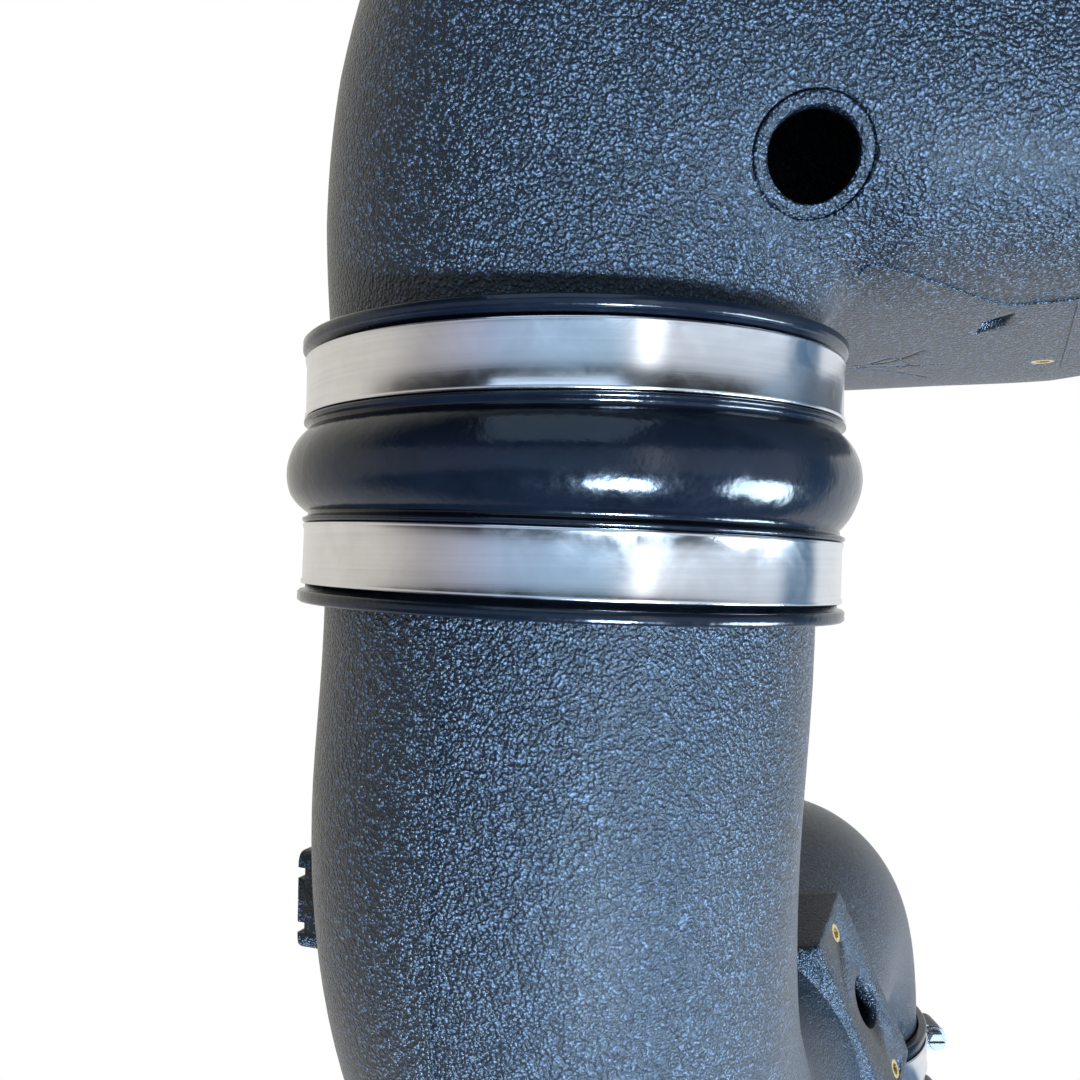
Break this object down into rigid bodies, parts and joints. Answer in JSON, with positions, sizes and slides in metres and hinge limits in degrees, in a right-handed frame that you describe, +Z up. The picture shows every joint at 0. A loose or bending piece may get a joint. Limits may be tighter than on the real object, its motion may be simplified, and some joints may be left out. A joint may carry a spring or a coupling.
{
  "type": "cold air intake pipe",
  "caption": "Moulded cold air intake pipe: a box-like upper duct, a rubber hump coupler held by band clamps, and a bent lower pipe ending in a clamped outlet hose.",
  "frame": {"origin": "centre of the outlet hose's open end", "axes": "+Z up, along the hump coupler's axis and out of the upper duct's top; -Z points out of the outlet hose; +X points out of the inlet collar; -Y is the side with the sensor port, as seen in the picture"},
  "size_m": [0.3406, 0.4441, 0.5376],
  "materials": {
    "duct_plastic": "pebble-grained, rotationally moulded black",
    "hose_rubber": "smooth, slightly glossy black",
    "band_steel": "bright stainless band",
    "screw_steel": "bright plated screw",
    "insert_brass": "machined brass"
  },
  "bodies": {
    "root": {"upper_duct": "duct_plastic", "hump_coupler": "hose_rubber", "lower_pipe": "duct_plastic", "outlet_hose": "hose_rubber", "clamp_a_band": "band_steel", "clamp_a_housing": "band_steel", "clamp_a_screw": "screw_steel", "clamp_b_band": "band_steel", "clamp_b_housing": "band_steel", "clamp_b_screw": "screw_steel", "clamp_c_band": "band_steel", "clamp_c_housing": "band_steel", "clamp_c_screw": "screw_steel", "clamp_d_band": "band_steel", "clamp_d_housing": "band_steel", "clamp_d_screw": "screw_steel", "sensor_insert_upper": "insert_brass", "sensor_insert_lower": "insert_brass", "lug_insert": "insert_brass", "stay_insert": "insert_brass"}
  },
  "joints": []
}
